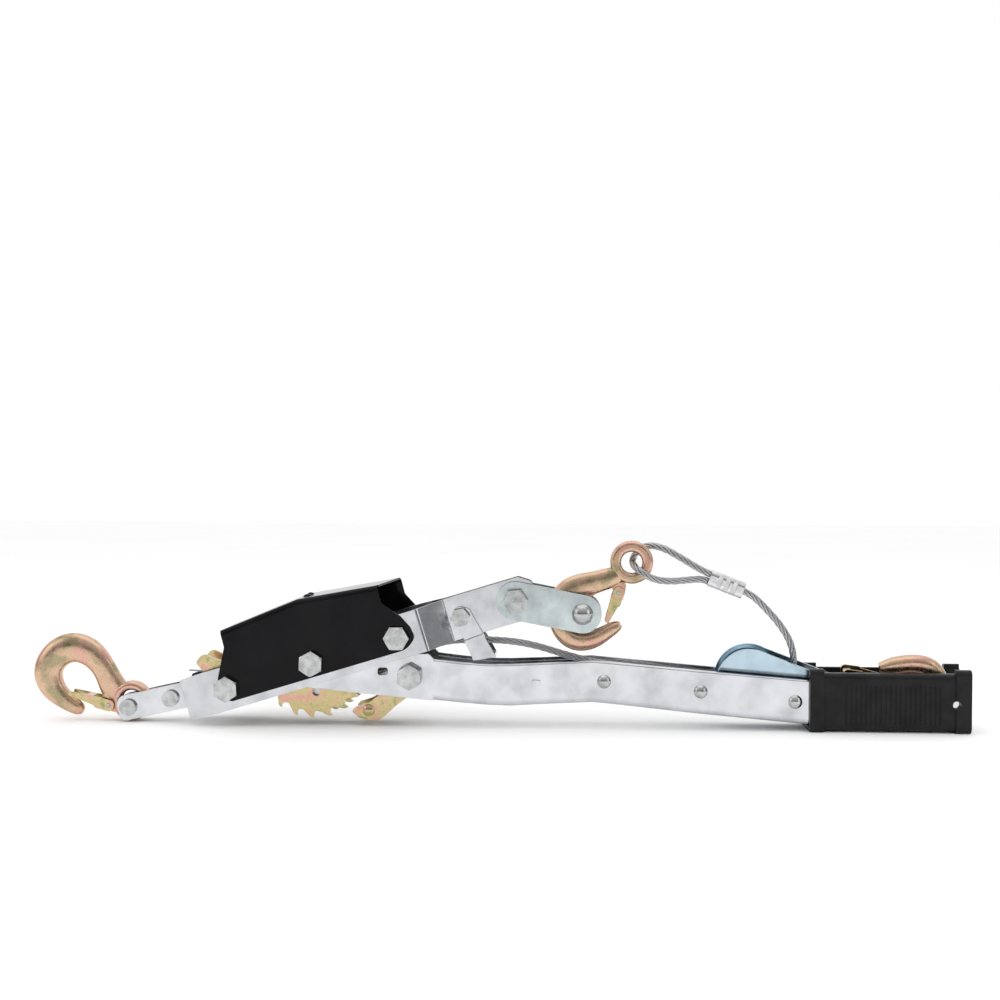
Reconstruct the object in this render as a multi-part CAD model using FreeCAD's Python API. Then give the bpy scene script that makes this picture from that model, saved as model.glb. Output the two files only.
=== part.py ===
import FreeCAD
import Part
import math
import os

# Hand ratchet cable puller (come along winch), lying on a flat surface with its handle folded back.
# Units are millimetres. X runs from the front hook to the grip, Y across the winch, Z up.
# Every shape is drawn with the drum axle at X = 0 and the surface at Z = 0. At the end the whole
# winch moves along X, so that the origin is the middle of its footprint.

# ---- driving dimensions ----
AXLE_Z = 49.6                # height of the drum axle above the surface
BAR_TILT = 17.0              # slope of the frame bar, degrees
BAR_HALF = 16.5              # half the height of the frame bar
PLATE = 3.0                  # frame sheet
FRAME_Y = 28.0               # outer face of the wide part of the frame
ARM_Y = 9.0                  # outer face of the narrow arm
FRONT_Y = 20.0               # outer face of the frame's front end
FRONT_END_U = -103.5         # places along the frame bar, from the axle
FRONT_BEND_U = -80.0
JOG_START_U = 87.5
JOG_END_U = 106.5
ARM_END_U = 176.0
BOLT_PITCH = 67.5
ARM_BOLT_U = 116.5
ANCHOR_BOLT_U = 160.2

BOLT_R = 5.0                 # M10 bolts
BOLT_FLATS = 17.0
BOLT_HEAD = 6.4
ARM_BOLT_R = 4.0             # M8 bolt through the narrow arm
ARM_BOLT_FLATS = 13.0
SLEEVE_R = 7.0               # pivot sleeves and spacers
FIT = 0.05                   # radial running clearance
GAP = 0.3                    # clearance between moving faces

COVER_T = 1.6
COVER_FOLD = 4.0

TEETH = 20
TOOTH_TIP_R = 43.6
TOOTH_ROOT_R = 37.6
TOOTH_PHASE = -53.4          # angle of one tooth tip at rest, degrees
WHEEL_Y = (13.0, 17.5)       # inner and outer face of a ratchet wheel
DRUM_CORE_R = 13.0
WINDING_R = 31.0
ROPE_D = 5.5

PAWL_Y = (13.25, 17.25)
DRIVE_PIVOT = (74.1, 40.0)
DRIVE_RIVET = (41.9, 12.6)
HOLD_TAIL = (-84.0, 46.6)
HOLD_THROW = 8.0             # turn of the holding pawls from released to engaged, degrees
HOLD_PIN = (-68.0, 42.5)
HOLD_TOOTH = 144.6           # the tooth that the holding pawls bear on, degrees

HANDLE_T = 2.5
HANDLE_HEAD_Y = 24.3         # outer face of the handle plates beside the drum
GRIP_END_Y = 19.5            # outer face of the handle plates under the grip
HANDLE_FLANGE = 9.0
CHANNEL_T = 1.5
GRIP_START = 374.7
GRIP_END = 494.3
GRIP_T = 2.6
GRIP_TOP = 44.6
GRIP_RIM = 1.4               # how far the grip's end flanges stand out

LINK_Y = 9.0
LINK_T = 3.0
LINK_HALF = 9.8
HOOK_RIVET = (-145.9, 11.5)
LINK_RIVET = (-112.8, 18.9)
HOOK_RIVET_R = 3.8

ANCHOR_LINK_Y = 12.4
ANCHOR_LINK_T = 3.0
ANCHOR_LINK_R = 14.6
ANCHOR_PIN = (204.4, 86.6)
ANCHOR_PIN_R = 7.0

BLOCK = (331.5, 37.0)        # sheave centre
BLOCK_ROLL = 8.0             # lean of the block in the handle, degrees
CHEEK_R = 25.5
CHEEK_Y = 10.0
CHEEK_T = 2.0
SHEAVE_R = 22.0
GROOVE_R = 17.0
SWIVEL = (391.0, 32.6)

Y_AXIS = FreeCAD.Vector(0, 1, 0)
ORIGIN = FreeCAD.Vector(0, 0, 0)
AXLE = (0.0, AXLE_Z)


# ---- geometry helpers ----
def vec(x, y, z):
    return FreeCAD.Vector(x, y, z)


def polar(radius, degrees, centre=(0.0, 0.0)):
    a = math.radians(degrees)
    return centre[0] + radius * math.cos(a), centre[1] + radius * math.sin(a)


def on_bar(u, v):
    """A side-view point, u along the frame bar from the axle and v square to it."""
    a = math.radians(BAR_TILT)
    return u * math.cos(a) - v * math.sin(a), AXLE_Z + u * math.sin(a) + v * math.cos(a)


def bar_outline(points):
    return [on_bar(p[0], p[1]) + tuple(p[2:]) for p in points]


def unit(p, q):
    length = math.hypot(q[0] - p[0], q[1] - p[1])
    return (q[0] - p[0]) / length, (q[1] - p[1]) / length


def rounded(before, at, after, radius):
    """Start, middle and end of the arc that rounds the corner at a point."""
    a, b = unit(at, before), unit(at, after)
    half = math.acos(max(-1.0, min(1.0, a[0] * b[0] + a[1] * b[1]))) / 2
    reach = radius / math.tan(half)
    inward = (a[0] + b[0], a[1] + b[1])
    size = math.hypot(*inward)
    inward = (inward[0] / size, inward[1] / size)
    depth = radius / math.sin(half) - radius
    start = (at[0] + a[0] * reach, at[1] + a[1] * reach)
    middle = (at[0] + inward[0] * depth, at[1] + inward[1] * depth)
    end = (at[0] + b[0] * reach, at[1] + b[1] * reach)
    return start, middle, end


def outline(points, place):
    """A closed wire through points (a, b) or (a, b, corner radius); place(a, b) puts them in space."""
    corners = []
    for i, point in enumerate(points):
        if len(point) > 2:
            before, after = points[i - 1], points[(i + 1) % len(points)]
            corners.append([place(*p) for p in rounded(before[:2], point[:2], after[:2], point[2])])
        else:
            corners.append([place(*point)])
    edges = []
    for i, corner in enumerate(corners):
        following = corners[(i + 1) % len(corners)][0]
        if len(corner) == 3:
            edges.append(Part.Arc(*corner).toShape())
        if (following - corner[-1]).Length > 1e-6:
            edges.append(Part.LineSegment(corner[-1], following).toShape())
    return Part.Wire(edges)


def side_prism(points, y0, y1):
    """A side-view outline, points (x, z) or (x, z, radius), given width from y0 to y1."""
    face = Part.Face(outline(points, lambda a, b: vec(a, y0, b)))
    return face.extrude(vec(0, y1 - y0, 0))


def plan_prism(points, z0, z1):
    """A plan-view outline, points (x, y) or (x, y, radius), given height from z0 to z1."""
    face = Part.Face(outline(points, lambda a, b: vec(a, b, z0)))
    return face.extrude(vec(0, 0, z1 - z0))


def bar_plan_prism(points, v0, v1):
    """A plan-view outline in the bar's own axes, points (u, y), spanning v0 to v1 across the bar."""
    body = plan_prism(points, v0, v1)
    body.rotate(ORIGIN, Y_AXIS, -BAR_TILT)
    body.translate(vec(0, 0, AXLE_Z))
    return body


def rod(centre, radius, y0, y1):
    return Part.makeCylinder(radius, y1 - y0, vec(centre[0], y0, centre[1]), Y_AXIS)


def tube(centre, outer, inner, y0, y1):
    return rod(centre, outer, y0, y1).cut(rod(centre, inner, y0, y1))


def stick(p, q, radius):
    """A round bar between two points in space."""
    return Part.makeCylinder(radius, (q - p).Length, p, q - p)


def hex_piece(centre, flats, seat, height, side, turn=0.0):
    """A bolt head or nut standing out from y = seat towards side, its outer corners turned off."""
    low, high = sorted((seat, seat + side * height))
    reach = flats / math.sqrt(3)
    body = side_prism([polar(reach, turn + 60 * k, centre) for k in range(6)], low, high)
    wide, narrow = reach + 1.7 * (height - 1.0), flats * 0.485 + 0.35
    cone = Part.makeCone(wide, narrow, height, vec(centre[0], seat, centre[1]), vec(0, side, 0))
    return body.common(cone)


def dome(base, direction, radius, height):
    """A round head: the cap of a ball, standing on base along direction."""
    ball = (radius ** 2 + height ** 2) / (2 * height)
    along = vec(direction.x, direction.y, direction.z).normalize()
    sphere = Part.makeSphere(ball, base + along * (height - ball))
    return sphere.common(Part.makeCylinder(radius + 1, height + 1, base, along))


def rivet(centre, shank_r, reach, head_r, head_h):
    """A rivet across the winch: a shank from -reach to reach with a round head on each end."""
    body = rod(centre, shank_r, -reach, reach)
    for side in (-1, 1):
        base = vec(centre[0], side * reach, centre[1])
        body = body.fuse(dome(base, vec(0, side, 0), head_r, head_h))
    return body.removeSplitter()


def turned(points, centre, degrees):
    """Side-view points turned about a centre, anticlockwise as seen from the near side."""
    a = math.radians(degrees)
    c, s = math.cos(a), math.sin(a)
    found = []
    for p in points:
        x, z = p[0] - centre[0], p[1] - centre[1]
        found.append((centre[0] + x * c - z * s, centre[1] + x * s + z * c) + tuple(p[2:]))
    return found


def mirrored(shape):
    return shape.mirror(ORIGIN, Y_AXIS)


def forged_limb(sections, squareness=2.4, steps=12):
    """A smooth limb through sections (x, z, width in the side view, thickness across)."""
    rings = []
    for i, (x, z, width, thick) in enumerate(sections):
        before = sections[max(i - 1, 0)]
        after = sections[min(i + 1, len(sections) - 1)]
        along = unit(before[:2], after[:2])
        points = []
        for k in range(steps):
            c, s = math.cos(2 * math.pi * k / steps), math.sin(2 * math.pi * k / steps)
            n = math.copysign(abs(c) ** (2 / squareness), c) * width / 2
            y = math.copysign(abs(s) ** (2 / squareness), s) * thick / 2
            points.append(vec(x - along[1] * n, y, z + along[0] * n))
        curve = Part.BSplineCurve()
        curve.interpolate(Points=points, PeriodicFlag=True)
        rings.append(Part.Wire([curve.toShape()]))
    return Part.makeLoft(rings, True, False)


def eye(centre, outer, inner, thick, edge):
    """A forged eye: a flat ring about an axis along Y, with rounded edges."""
    wide, deep = (outer - inner) / 2, thick / 2
    middle = (outer + inner) / 2
    points = [(-wide, -deep, edge), (wide, -deep, edge), (wide, deep, edge), (-wide, deep, edge)]
    wire = outline(points, lambda a, b: vec(centre[0] + middle + a, b, centre[1]))
    return Part.Face(wire).revolve(vec(centre[0], 0, centre[1]), Y_AXIS, 360)


def routed_tube(points, diameter, label):
    """A cord's tube: straight runs joined by tangent arcs, each as large as its two runs allow."""
    spots = [vec(*p) for p in points]
    edges, radii = [], []
    start = spots[0]
    for i in range(1, len(spots) - 1):
        a, b = spots[i] - spots[i - 1], spots[i + 1] - spots[i]
        reach = 0.45 * min(a.Length, b.Length)
        a.normalize()
        b.normalize()
        turn = a.getAngle(b)
        radius = reach / math.tan(turn / 2)
        radii.append(radius)
        first, last = spots[i] - a * reach, spots[i] + b * reach
        middle = spots[i] + (b - a).normalize() * (radius / math.cos(turn / 2) - radius)
        edges.append(Part.LineSegment(start, first).toShape())
        edges.append(Part.Arc(first, middle, last).toShape())
        start = last
    edges.append(Part.LineSegment(start, spots[-1]).toShape())
    path = Part.Wire(edges)
    circle = Part.Wire([Part.Circle(spots[0], spots[1] - spots[0], diameter / 2).toShape()])
    solid = path.makePipeShell([circle], True, False)
    ratio = solid.Volume / (math.pi * diameter ** 2 / 4 * path.Length)
    print(label, "length %.1f, volume ratio %.4f, radii" % (path.Length, ratio), [round(r) for r in radii])
    return solid


# ---- places that several pieces share ----
FRONT_BOLT = on_bar(-BOLT_PITCH, 0)
REAR_BOLT = on_bar(BOLT_PITCH, 0)
ARM_BOLT = on_bar(ARM_BOLT_U, 0)
ANCHOR_BOLT = on_bar(ANCHOR_BOLT_U, 0)
FRAME_IN = FRAME_Y - PLATE
BOLT_SEAT = FRAME_Y + COVER_T


# ---- frame ----
def frame_plate():
    """The near frame plate: it narrows at the front end and steps in to the narrow arm."""
    outer = [(FRONT_END_U, -FRONT_Y), (FRONT_BEND_U, -FRAME_Y, 5), (JOG_START_U, -FRAME_Y, 4),
             (JOG_END_U, -ARM_Y, 2), (ARM_END_U, -ARM_Y)]
    jog = PLATE * math.tan(math.radians(22.5))
    front = PLATE * math.tan(math.radians(9.4))
    inner = [(ARM_END_U, -ARM_Y + PLATE), (JOG_END_U + jog, -ARM_Y + PLATE, 5),
             (JOG_START_U - jog, -FRAME_IN, 1), (FRONT_BEND_U + front, -FRAME_IN, 2),
             (FRONT_END_U, -FRONT_Y + PLATE)]
    body = bar_plan_prism(outer + inner, -30, 30)
    side = [(FRONT_END_U, -14.5, 2), (FRONT_BEND_U, -BAR_HALF, 30), (ARM_END_U, -BAR_HALF, 9),
            (ARM_END_U, BAR_HALF - 6, 4), (ARM_END_U - 9, BAR_HALF, 4), (FRONT_BEND_U, BAR_HALF, 30),
            (FRONT_END_U, 15.5, 2)]
    body = body.common(side_prism(bar_outline(side), -40, 0))
    for centre in (FRONT_BOLT, REAR_BOLT, AXLE, ANCHOR_BOLT):
        body = body.cut(rod(centre, BOLT_R, -40, 0))
    return body.cut(rod(ARM_BOLT, ARM_BOLT_R, -40, 0))


def top_folds(body, half_width, lowest_v):
    """The long edges where a cover's sides meet its top."""
    a = math.radians(BAR_TILT)
    found = []
    for edge in body.Edges:
        box = edge.BoundBox
        middle = edge.valueAt((edge.FirstParameter + edge.LastParameter) / 2)
        v = (middle.z - AXLE_Z) * math.cos(a) - middle.x * math.sin(a)
        if box.YLength < 1e-4 and abs(abs(middle.y) - half_width) < 1e-4 and v > lowest_v:
            found.append(edge)
    return found


def cover():
    """The sheet cover over the drum: a channel open below, its top rising to a ridge.

    Its far side reaches further back than its near side, so the back edge of the top runs aslant.
    """
    left, ridge, right = (-60.0, 43.3), (3.0, 49.4), (76.4, 40.8)
    sides = [(-68.5, -10.6, 4), (72.0, -10.6, 14), (79.6, -5.0, 6), (82.4, 5.0, 6), (82.0, 15.0, 4),
             (75.9, 27.5, 3)]
    front = [left, (-60.4, 30.5, 4), (-72.4, 8.0, 4)]
    outside = side_prism(bar_outline(sides + [right, ridge + (9,)] + front), -BOLT_SEAT, BOLT_SEAT)
    outside = outside.makeFillet(COVER_FOLD, top_folds(outside, BOLT_SEAT, 42.0))
    under = [(left[0] * 2, left[1] - COVER_T - 5.5), (right[0] * 2, right[1] - COVER_T - 8.6)]
    roof = [under[0], (ridge[0], ridge[1] - COVER_T, 9), under[1], (under[1][0], -30), (under[0][0], -30)]
    hollow = side_prism(bar_outline(roof), -FRAME_Y, FRAME_Y)
    hollow = hollow.makeFillet(COVER_FOLD - COVER_T, top_folds(hollow, FRAME_Y, 15.0))
    body = outside.cut(hollow)
    near_edge = [(90.0, -2.0), (80.5, -2.0), (79.4, 5.0, 6), (74.6, 15.0, 4), (63.9, 28.5, 3), (64.4, 60.0),
                 (90.0, 60.0)]
    body = body.cut(side_prism(bar_outline(near_edge), -BOLT_SEAT - 1, -FRAME_Y + COVER_FOLD - COVER_T))
    aslant = [(64.4, -BOLT_SEAT), (76.4, BOLT_SEAT), (90.0, BOLT_SEAT), (90.0, -BOLT_SEAT)]
    body = body.cut(bar_plan_prism(aslant, 30.0, 60.0))
    for centre in (FRONT_BOLT, REAR_BOLT, AXLE):
        body = body.cut(rod(centre, BOLT_R, -40, 40))
    return body


def cover_screws():
    """Two dome screws through the cover's top, just behind its ridge."""
    lean = math.radians(BAR_TILT - 6.7)
    out = vec(-math.sin(lean), 0, math.cos(lean))
    pieces = []
    for y in (-8.0, 8.0):
        x, z = on_bar(7.5, 49.4 - 4.5 * math.tan(math.radians(6.7)) + 0.1)
        base = vec(x, y, z)
        pieces.append(dome(base, out, 3.1, 1.6))
    return Part.makeCompound(pieces)


def bolt(centre, radius, seat, flats, head, turn):
    """A bolt across the winch, its head on the near side."""
    body = hex_piece(centre, flats, -seat, head, -1, turn)
    return body.fuse(rod(centre, radius, -seat, seat)).removeSplitter()


def nut(centre, radius, seat, flats, height, turn):
    """The nut on the far side, with the rounded end of the bolt's thread standing out of it."""
    body = hex_piece(centre, flats, seat, height, 1, turn)
    return body.fuse(rod(centre, radius, seat + height - 0.5, seat + height + 1.4)).removeSplitter()


def frame_bolts():
    """The three bolts through cover and frame, their heads turned as they happened to stop."""
    places = ((FRONT_BOLT, 32.0), (AXLE, 28.0), (REAR_BOLT, 0.0))
    pieces = [bolt(at, BOLT_R, BOLT_SEAT, BOLT_FLATS, BOLT_HEAD, turn) for at, turn in places]
    return Part.makeCompound(pieces)


def frame_nuts():
    places = ((FRONT_BOLT, 12.0), (AXLE, 40.0), (REAR_BOLT, 25.0))
    pieces = [nut(at, BOLT_R, BOLT_SEAT, BOLT_FLATS, 5.0, turn) for at, turn in places]
    return Part.makeCompound(pieces)


def arm_nuts():
    small = nut(ARM_BOLT, ARM_BOLT_R, ARM_Y + 2.0, ARM_BOLT_FLATS, 4.0, 20.0)
    return Part.makeCompound([small, nut(ANCHOR_BOLT, BOLT_R, ANCHOR_LINK_Y + GAP, BOLT_FLATS, 5.0, 18.0)])


def arm_spacers():
    reach = ARM_Y - PLATE
    small = tube(ARM_BOLT, 6.5, ARM_BOLT_R, -reach, reach)
    return Part.makeCompound([small, tube(ANCHOR_BOLT, 7.5, BOLT_R, -reach, reach)])


def sleeve(centre, reach):
    return tube(centre, SLEEVE_R, BOLT_R, -reach, reach)


def cable_guide():
    """A strap hung from the arm bolt: it passes under the rope and comes up on the far side."""
    turn_in, out = -ARM_Y - 2.0, -ARM_Y - 5.5
    x, z = ARM_BOLT
    tab = side_prism([(x - 7.6, z + 2, 6), (x - 2, z + 8.5, 5), (x + 6.5, z + 6.5, 5), (x + 17.5, z - 12.5),
                      (x + 3.2, z - 18.0)], turn_in, -ARM_Y)
    lower = [(x + 17.5, z - 12.5), (x + 27.4, z - 29.9), (x + 10.2, z - 33.0), (x + 3.2, z - 18.0)]
    skirt = side_prism(lower, out, out + 2)
    shelf = [(x + 17.5, z - 12.5), (x + 18.6, z - 14.4), (x + 4.1, z - 20.0), (x + 3.2, z - 18.0)]
    near = tab.fuse([skirt, side_prism(shelf, out, -ARM_Y)])
    fold = [(x + 27.4, z - 29.9), (x + 26.4, z - 28.1), (x + 9.3, z - 31.2), (x + 10.2, z - 33.0)]
    bottom = side_prism(fold, out, -out)
    body = near.fuse([mirrored(near), bottom]).removeSplitter()
    return body.cut(rod(ARM_BOLT, ARM_BOLT_R, -40, 40))


def coil(centre, wire_r, first_y, turns):
    """The coils of a torsion spring, closed up side by side on a pivot sleeve."""
    ring_r = SLEEVE_R + 0.4 + wire_r
    rings = [Part.makeTorus(ring_r, wire_r, vec(centre[0], first_y + 1.9 * wire_r * k, centre[1]), Y_AXIS)
             for k in range(turns)]
    return rings[0].fuse(rings[1:])


def hold_spring():
    """A torsion spring on the front sleeve, one leg running forward over the frame's end."""
    start = vec(FRONT_BOLT[0] - 4.0, 10.0, FRONT_BOLT[1] + 7.4)
    return coil(FRONT_BOLT, 0.8, 10.0, 2).fuse(stick(start, vec(-103.0, 10.0, 38.2), 0.8))


# ---- drum ----
def ratchet_wheel():
    """A wheel with hooked teeth, steep and undercut on the side that both pawls bear on."""
    pitch = 360.0 / TEETH
    edges = []
    for k in range(TEETH):
        base = TOOTH_PHASE + pitch * k
        turns = ((TOOTH_TIP_R, 0.0), (40.6, -0.9), (TOOTH_ROOT_R + 0.6, 1.2), (TOOTH_ROOT_R, 4.4),
                 (TOOTH_TIP_R - 0.7, pitch - 3.6), (TOOTH_TIP_R, pitch))
        corners = [polar(radius, base + turn, AXLE) for radius, turn in turns]
        spots = [vec(p[0], -WHEEL_Y[1], p[1]) for p in corners]
        edges.append(Part.Arc(spots[0], spots[1], spots[2]).toShape())
        edges.append(Part.LineSegment(spots[2], spots[3]).toShape())
        edges.append(Part.LineSegment(spots[3], spots[4]).toShape())
        edges.append(Part.LineSegment(spots[4], spots[5]).toShape())
    wheel = Part.Face(Part.Wire(edges)).extrude(vec(0, WHEEL_Y[1] - WHEEL_Y[0], 0))
    wheel = wheel.cut(rod(AXLE, SLEEVE_R + FIT, -40, 40))
    return wheel.cut(rod(polar(23.5, -86.0, AXLE), 3.0, -40, 40))


def drum_core():
    """The hub between the wheels, running on the axle's sleeve."""
    return tube(AXLE, DRUM_CORE_R, SLEEVE_R + FIT, -WHEEL_Y[0], WHEEL_Y[0])


def winding():
    """The rope still on the drum, as one ring the width of its layers."""
    return tube(AXLE, WINDING_R, DRUM_CORE_R, -WHEEL_Y[0] + 0.1, WHEEL_Y[0] - 0.1)


# ---- pawls ----
def hold_pawl():
    """The near holding pawl: an arched strut from the front bolt to the wheel, with a thumb tail."""
    x, z = FRONT_BOLT
    tooth = HOLD_TOOTH
    engaged = [polar(39.9, tooth + 0.9, AXLE) + (0.6,), polar(39.9, tooth + 3.8, AXLE) + (0.6,),
               polar(44.9, tooth + 9.0, AXLE) + (3,), polar(46.5, tooth + 24.0, AXLE) + (12,),
               (x + 13.0, z - 4.0, 8), (x + 3.0, z - 12.0, 8), (x - 12.5, z - 2.0, 9),
               (x - 8.0, z + 15.0, 8), polar(54.5, tooth + 18.0, AXLE) + (20,),
               polar(49.5, tooth + 2.0, AXLE) + (3,)]
    strut = side_prism(turned(engaged, FRONT_BOLT, HOLD_THROW), -PAWL_Y[1], -PAWL_Y[0])
    tail = [(x + 4.0, z + 10.0), (x + 2.0, z + 17.5, 6), (HOLD_TAIL[0] + 7.0, HOLD_TAIL[1] + 4.0, 3),
            (HOLD_TAIL[0] - 2.0, HOLD_TAIL[1] + 8.0, 4), (HOLD_TAIL[0] - 7.5, HOLD_TAIL[1] + 1.0, 3),
            (HOLD_TAIL[0] + 1.0, HOLD_TAIL[1] - 8.5, 4), (x - 10.0, z + 2.0)]
    body = strut.fuse(side_prism(tail, -PAWL_Y[1], -PAWL_Y[0])).removeSplitter()
    return body.cut([rod(FRONT_BOLT, SLEEVE_R + FIT, -40, 0), rod(HOLD_PIN, 2.8, -40, 0)])


def drive_pawl():
    """The near driving pawl: a curved shoe under the wheel, hung from the handle's pivot bolt."""
    x, z = DRIVE_PIVOT
    points = [(x + 11.0, z + 2.0, 9), (x + 3.0, z + 11.0, 9), (x - 10.5, z + 4.0, 6), (50.5, 24.6, 8),
              (42.0, 18.0, 14), (31.6, 14.6, 1.0), (29.0, 11.9, 1.2), (34.0, 6.8, 5), (42.5, 4.6, 9),
              (51.5, 5.6, 9), (62.5, 16.0, 16), (x + 8.0, z - 9.0, 8)]
    body = side_prism(points, -PAWL_Y[1], -PAWL_Y[0])
    return body.cut([rod(DRIVE_PIVOT, SLEEVE_R + FIT, -40, 0), rod(DRIVE_RIVET, 3.2, -40, 0)])


def drive_spring():
    """The pawl's torsion spring, coiled on the pivot sleeve."""
    leg = stick(vec(DRIVE_PIVOT[0] - 3.0, 8.0, DRIVE_PIVOT[1] - 7.6), vec(48.0, 8.0, 15.0), 0.75)
    return coil(DRIVE_PIVOT, 0.75, 8.0, 4).fuse(leg)


# ---- handle ----
CHANNEL_RIVETS = ((220.8, 36.5), (293.5, 29.6), (364.3, 22.6))
RIVET_R = 3.0


def handle_station(x, half, top, bottom, lip, foot):
    """The near handle plate's cross-section at x: a web with a rolled foot and a turned-in lip."""
    t = HANDLE_T
    points = [(-half, top, 1.2), (-half + lip, top), (-half + lip, top - t), (-half + t, top - t, 0.3),
              (-half + t, bottom + t, 2.0), (-half + foot, bottom + t), (-half + foot, bottom),
              (-half, bottom, 4.4)]
    return outline(points, lambda a, b: vec(x, a, b))


def handle_plate():
    """The near handle plate: a flat head round the axle, then a channel that runs in to the grip."""
    head = [(-19.0, 36.0, 14), (-4.0, 30.6, 10), (37.3, 26.4), (92.0, 21.6), (92.0, 52.6), (88.0, 56.8, 1.5),
            (80.0, 56.6, 6), (60.0, 59.0, 30), (9.0, 71.2, 16), (-19.0, 68.0, 16)]
    body = side_prism(head, -HANDLE_HEAD_Y, -HANDLE_HEAD_Y + HANDLE_T)
    lip = HANDLE_T + 0.5
    stations = [(92.0, HANDLE_HEAD_Y, 52.6, 21.6, lip, 5.0), (112.0, 23.4, 50.4, 19.6, lip, HANDLE_FLANGE),
                (134.0, 22.4, 48.9, 17.8, lip, HANDLE_FLANGE), (150.0, 21.3, 49.0, 17.2, lip, HANDLE_FLANGE),
                (172.0, 20.1, 50.0, 18.4, lip, HANDLE_FLANGE),
                (212.0, GRIP_END_Y, 52.0, 20.3, 3.5, HANDLE_FLANGE),
                (230.0, GRIP_END_Y, 50.6, 18.7, 5.3, HANDLE_FLANGE),
                (292.0, GRIP_END_Y, 45.3, 12.4, 5.3, HANDLE_FLANGE),
                (374.0, GRIP_END_Y, 38.8, 5.3, 5.3, HANDLE_FLANGE),
                (490.0, GRIP_END_Y, 37.6, 3.4, 5.3, HANDLE_FLANGE)]
    run = Part.makeLoft([handle_station(*s) for s in stations], True, True)
    stop = [(166.6, 33.4, 0.8), (172.6, 33.0, 0.8), (172.8, 37.0, 0.8), (166.8, 37.4, 0.8)]
    lug = side_prism(stop, -22.2, -19.0)
    body = body.fuse([run, lug])
    body = body.cut([rod(AXLE, SLEEVE_R + FIT, -40, 0), rod(DRIVE_PIVOT, SLEEVE_R, -40, 0)])
    body = body.cut([rod(at, RIVET_R, -40, 0) for at in CHANNEL_RIVETS])
    slot = side_prism([(49.2, 40.2, 2), (57.6, 41.0, 2), (57.2, 46.2, 2), (50.0, 46.2, 2)], -40, 0)
    return body.cut(slot)


def channel_station(x, top, bottom):
    """The channel's cross-section at x."""
    half, t = GRIP_END_Y - HANDLE_T, CHANNEL_T
    points = [(-half, top), (-half, bottom, 3.2), (half, bottom, 3.2), (half, top), (half - t, top),
              (half - t, bottom + t, 1.7), (-half + t, bottom + t, 1.7), (-half + t, top)]
    return outline(points, lambda a, b: vec(x, a, b))


def handle_channel():
    """The pressed channel riveted inside the handle plates; its floor starts behind the pulley block."""
    stations = [(205.0, 46.0, 24.5), (230.0, 47.4, 21.4), (292.0, 42.0, 15.1), (374.0, 35.6, 8.0),
                (489.0, 34.4, 6.1)]
    body = Part.makeLoft([channel_station(*s) for s in stations], True, True)
    away = [(200.0, 0.0), (352.0, 0.0), (352.0, 13.4), (292.0, 18.5), (230.0, 25.0), (200.0, 29.0)]
    body = body.cut(side_prism(away, -30, 30))
    return body.cut([rod(at, RIVET_R, -40, 40) for at in CHANNEL_RIVETS])


def channel_rivets():
    """Three short rivets on each side, through a handle plate and the channel's wall."""
    pieces = []
    for at in CHANNEL_RIVETS:
        body = rod(at, RIVET_R, -GRIP_END_Y, -GRIP_END_Y + HANDLE_T + CHANNEL_T)
        body = body.fuse(dome(vec(at[0], -GRIP_END_Y, at[1]), vec(0, -1, 0), 5.2, 2.6))
        tail = vec(at[0], -GRIP_END_Y + HANDLE_T + CHANNEL_T, at[1])
        body = body.fuse(dome(tail, Y_AXIS, 4.2, 1.0)).removeSplitter()
        pieces += [body, mirrored(body)]
    return Part.makeCompound(pieces)


def drive_bolt():
    """The pawl's pivot bolt, with a deep head on the near side."""
    head = hex_piece(DRIVE_PIVOT, BOLT_FLATS, -HANDLE_HEAD_Y - 1.6, 8.0, -1, 30.0)
    washer = rod(DRIVE_PIVOT, 9.6, -HANDLE_HEAD_Y - 1.6, -HANDLE_HEAD_Y)
    shank = rod(DRIVE_PIVOT, BOLT_R, -HANDLE_HEAD_Y, HANDLE_HEAD_Y + 1.6)
    return head.fuse([washer, shank]).removeSplitter()


def drive_nut():
    body = nut(DRIVE_PIVOT, BOLT_R, HANDLE_HEAD_Y + 1.6, BOLT_FLATS, 6.0, 8.0)
    return body.fuse(tube(DRIVE_PIVOT, 9.6, BOLT_R, HANDLE_HEAD_Y, HANDLE_HEAD_Y + 1.6)).removeSplitter()


def grip():
    """The moulded sleeve: a channel open along its top, flanged at both ends and grooved across."""
    half = GRIP_END_Y + GRIP_T + 0.1
    lip = 7.2

    def wall(x, extra, top):
        h = half + extra
        low = GRIP_RIM - extra
        inner = GRIP_END_Y + 0.1
        return [(-h, low, 5), (h, low, 5), (h, top, 4), (h - lip, top), (h - lip, 38.9), (inner, 38.9),
                (inner, 3.3), (-inner, 3.3), (-inner, 38.9), (-h + lip, 38.9), (-h + lip, top), (-h, top, 4)]

    def length_of(x0, x1, extra, top):
        face = Part.Face(outline(wall(x0, extra, top), lambda a, b: vec(x0, a, b)))
        return face.extrude(vec(x1 - x0, 0, 0))

    body = length_of(GRIP_START, GRIP_END, 0.0, GRIP_TOP)
    for x0, x1 in ((GRIP_START, GRIP_START + 10.5), (GRIP_END - 11.5, GRIP_END)):
        body = body.fuse(length_of(x0, x1, GRIP_RIM, GRIP_TOP + 3.0))
    grooves = []
    for k in range(20):
        x = GRIP_START + 26.0 + 3.66 * k
        for side in (-1, 1):
            y = side * (half + 0.2)
            grooves.append(Part.makeBox(1.5, 1.4, 29.0, vec(x, y - 0.7, 6.5)))
    body = body.cut(grooves)
    for side in (-1, 1):
        body = body.cut(rod((483.6, 21.7), 3.0, side * half - 2.7, side * half + 2.7))
    return body


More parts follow.
